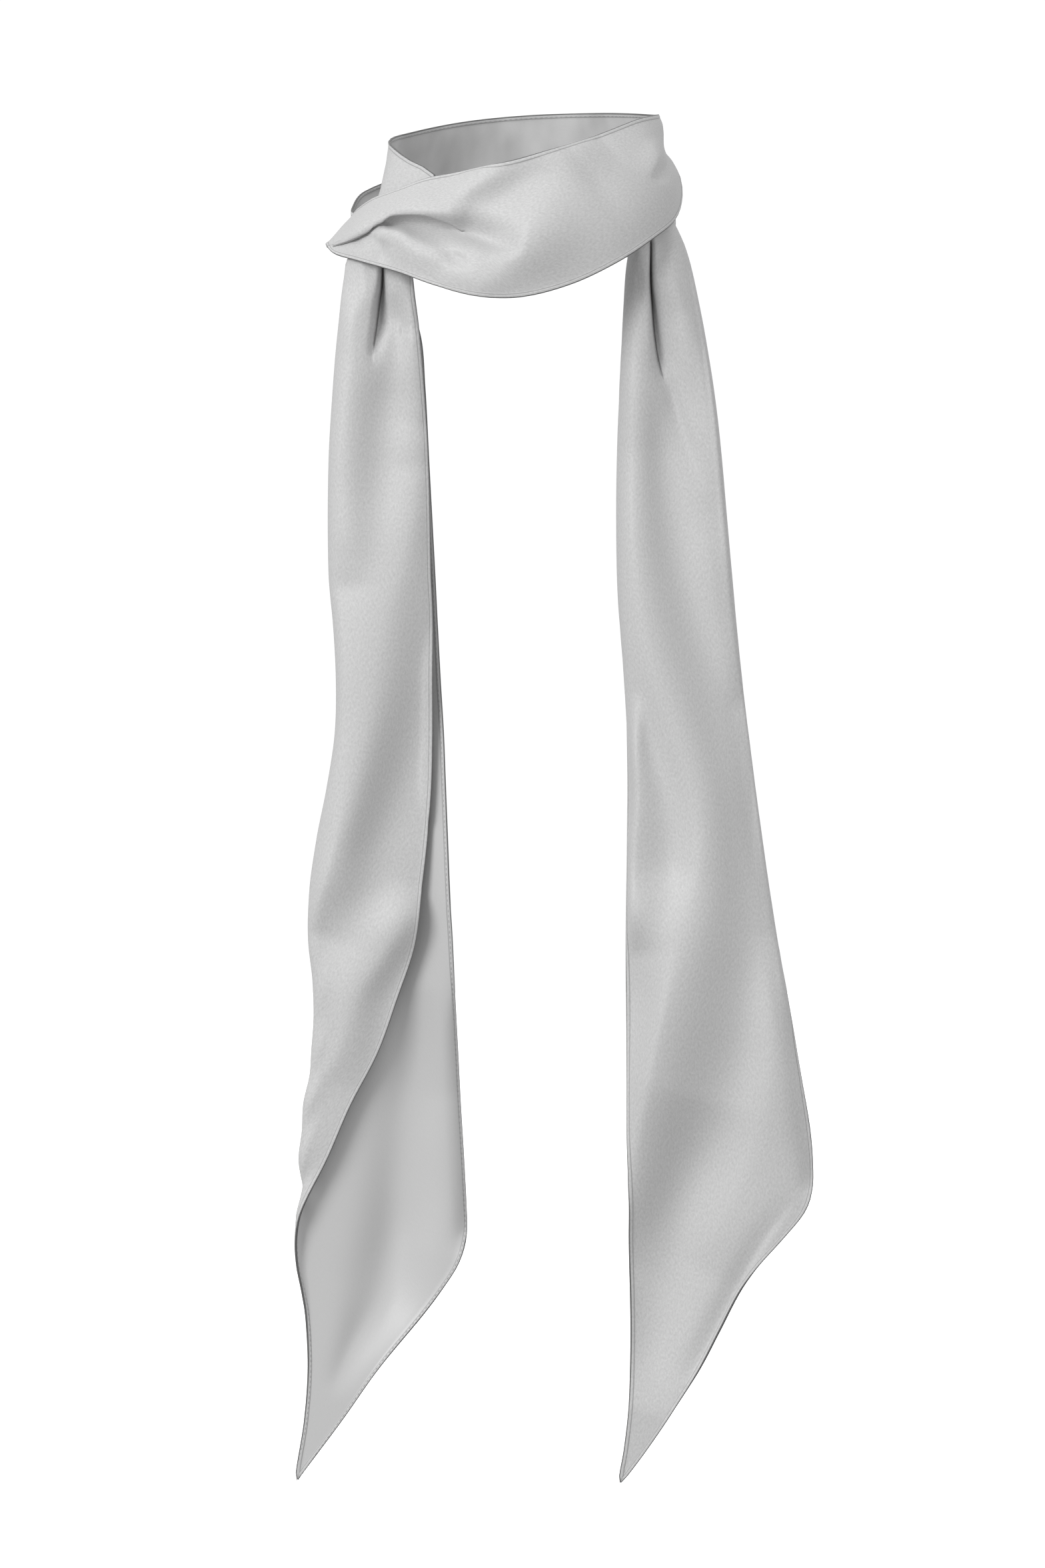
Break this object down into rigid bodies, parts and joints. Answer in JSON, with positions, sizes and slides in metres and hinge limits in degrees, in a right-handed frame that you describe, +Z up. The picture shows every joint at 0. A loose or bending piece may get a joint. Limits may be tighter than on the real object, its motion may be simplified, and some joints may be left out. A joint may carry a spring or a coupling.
{
  "type": "long narrow neck scarf",
  "caption": "Long narrow cloth scarf wound round an open neck hollow, with a gathered front band and two slant-cut tails hanging in front",
  "frame": {"origin": "centre of the neck hollow, where the scarf sits round a neck", "axes": "+Z up along the neck and against the hang of the tails, +X to the right in a front view, +Y to the back of the neck"},
  "size_m": [0.2568, 0.1747, 0.6833],
  "materials": {
    "satin_cloth": "light neutral grey satin twill with a fine grain on its outer face, a smoother reverse and narrow sewn hems"
  },
  "bodies": {
    "root": {"neck_wrap": "satin_cloth", "left_tail": "satin_cloth", "right_tail": "satin_cloth"}
  },
  "joints": []
}
